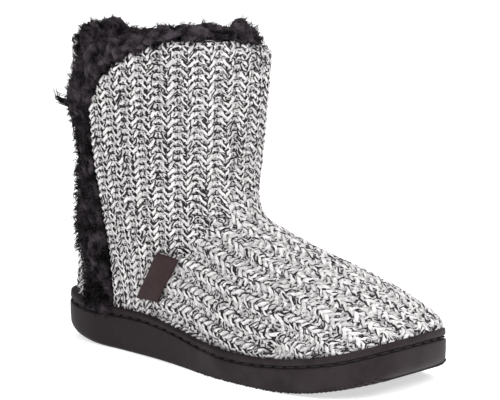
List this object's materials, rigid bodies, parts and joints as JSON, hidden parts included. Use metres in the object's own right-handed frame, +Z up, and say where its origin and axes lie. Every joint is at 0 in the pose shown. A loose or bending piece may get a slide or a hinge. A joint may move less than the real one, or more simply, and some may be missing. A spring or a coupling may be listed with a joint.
{
  "type": "slipper boot",
  "caption": "Knitted slipper boot for the right foot, with a rolled fleece collar, a fleece strip down the outer side and a moulded rubber cup sole.",
  "frame": {"origin": "on the ground under the middle of the boot's box", "axes": "+X towards the toe, -Y towards the outer (lateral) side of this right boot, +Z up"},
  "size_m": [0.264, 0.1072, 0.209],
  "materials": {
    "black_rubber": "matt, fine grained",
    "dark_footbed": "short dark pile",
    "marled_knit": "chunky ribbed knit in black, grey and white marled yarn",
    "black_fleece_strip": "black teddy fleece",
    "black_fleece_collar": "black teddy fleece",
    "brown_label": "woven ribbon, bare"
  },
  "bodies": {
    "root": {"outsole": "black_rubber", "insole": "dark_footbed", "upper": "marled_knit", "fleece_gusset": "black_fleece_strip", "fleece_collar": "black_fleece_collar", "label_tab": "brown_label"}
  },
  "joints": []
}
